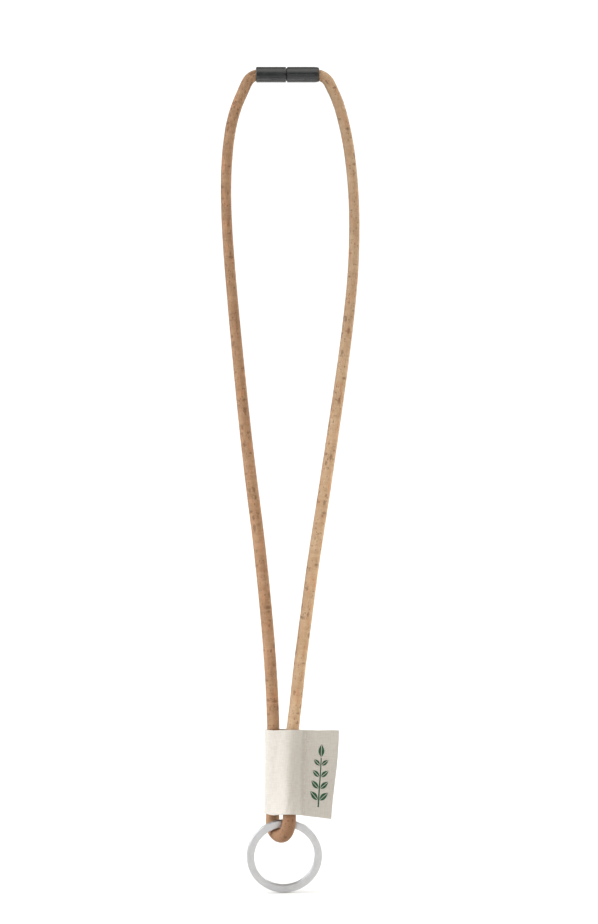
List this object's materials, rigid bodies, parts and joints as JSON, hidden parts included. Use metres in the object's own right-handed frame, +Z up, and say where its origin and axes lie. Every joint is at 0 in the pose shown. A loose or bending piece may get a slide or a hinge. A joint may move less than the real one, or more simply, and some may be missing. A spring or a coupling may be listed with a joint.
{
  "type": "lanyard",
  "caption": "Neck lanyard: round cork cord loop with a two-part pull-apart clasp, a folded canvas label and a split ring for keys.",
  "frame": {"origin": "middle of the clasp's underside, the inner top of the loop, where the lanyard lies on a neck or a hook", "axes": "+Z up, along the hanging lanyard; +X to the right, along the clasp's axis; +Y to the back, away from the label's printed face"},
  "size_m": [0.0552, 0.0164, 0.3308],
  "materials": {
    "clasp_plastic": "satin moulded black-grey plastic",
    "cork": "thin cork skin with darker brown flecks, dry matt",
    "core_cotton": "undyed cotton cord, hidden inside the cork",
    "label_canvas": "undyed plain-weave cotton canvas",
    "seam_thread": "undyed sewing thread",
    "print_ink": "dark green screen-print ink, matt",
    "ring_steel": "nickel-plated steel, satin"
  },
  "bodies": {
    "root": {"clasp_socket_half": "clasp_plastic", "cork_sheath_left": "cork", "cotton_core_left": "core_cotton"},
    "right_strand": {"clasp_plug_half": "clasp_plastic", "cork_sheath_right": "cork", "cotton_core_right": "core_cotton"},
    "label": {"canvas_label": "label_canvas", "seam_thread_front": "seam_thread", "seam_thread_back": "seam_thread", "label_print": "print_ink"},
    "ring": {"split_ring": "ring_steel"}
  },
  "joints": [
    {"name": "clasp_release", "type": "slide", "parent": "root", "child": "right_strand", "axis": [1, 0, 0], "range_m": [0, 0.008]},
    {"name": "label_slide", "type": "slide", "parent": "root", "child": "label", "axis": [0, 0, 1], "range_m": [0, 0.004]},
    {"name": "ring_swing", "type": "hinge", "parent": "root", "child": "ring", "pos_m": [-0.0011, 0, -0.2963], "axis": [0.9976, 0.0698, 0], "range_deg": [-90, 60]}
  ]
}
